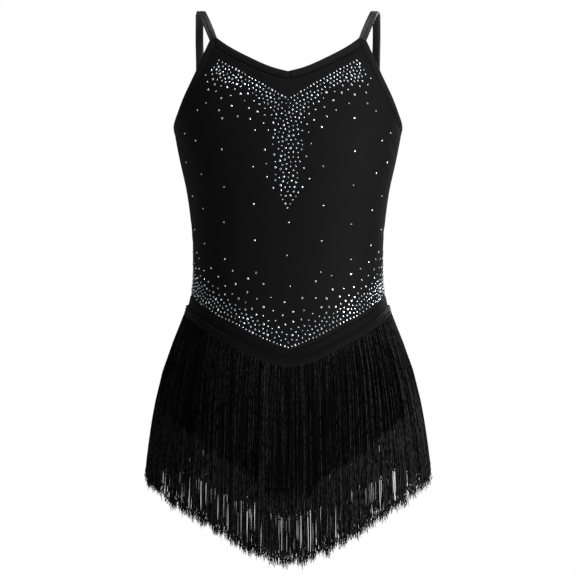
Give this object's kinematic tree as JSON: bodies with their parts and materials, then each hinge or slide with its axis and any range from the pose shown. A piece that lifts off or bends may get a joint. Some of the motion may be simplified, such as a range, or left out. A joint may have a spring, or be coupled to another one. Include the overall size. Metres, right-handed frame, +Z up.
{
  "type": "latin dance leotard",
  "caption": "Girl's black camisole latin dance leotard with bound edges, thin straps, a V waist, a rhinestone bodice and long chainette fringe at the hip, hollow as worn.",
  "frame": {"origin": "midway between the two shoulder straps, level with their upper faces at their highest, where the wearer's shoulders carry the garment", "axes": "+Z up, the front of the garment faces -Y, +X to the viewer's right"},
  "size_m": [0.3024, 0.2236, 0.5705],
  "materials": {
    "jersey": "matt nylon elastane jersey",
    "binding": "folded jersey binding, matt",
    "fringe": "rayon chainette, soft sheen",
    "rhinestone": "foil-backed faceted glass",
    "thread": "polyester sewing thread"
  },
  "bodies": {
    "root": {"front_bodice": "jersey", "back_bodice": "jersey", "front_brief": "jersey", "back_brief": "jersey", "neck_binding_front": "binding", "neck_binding_back": "binding", "armhole_binding_left": "binding", "armhole_binding_right": "binding", "strap_left": "binding", "strap_right": "binding", "fringe_front": "fringe", "fringe_back": "fringe"}
  },
  "joints": []
}
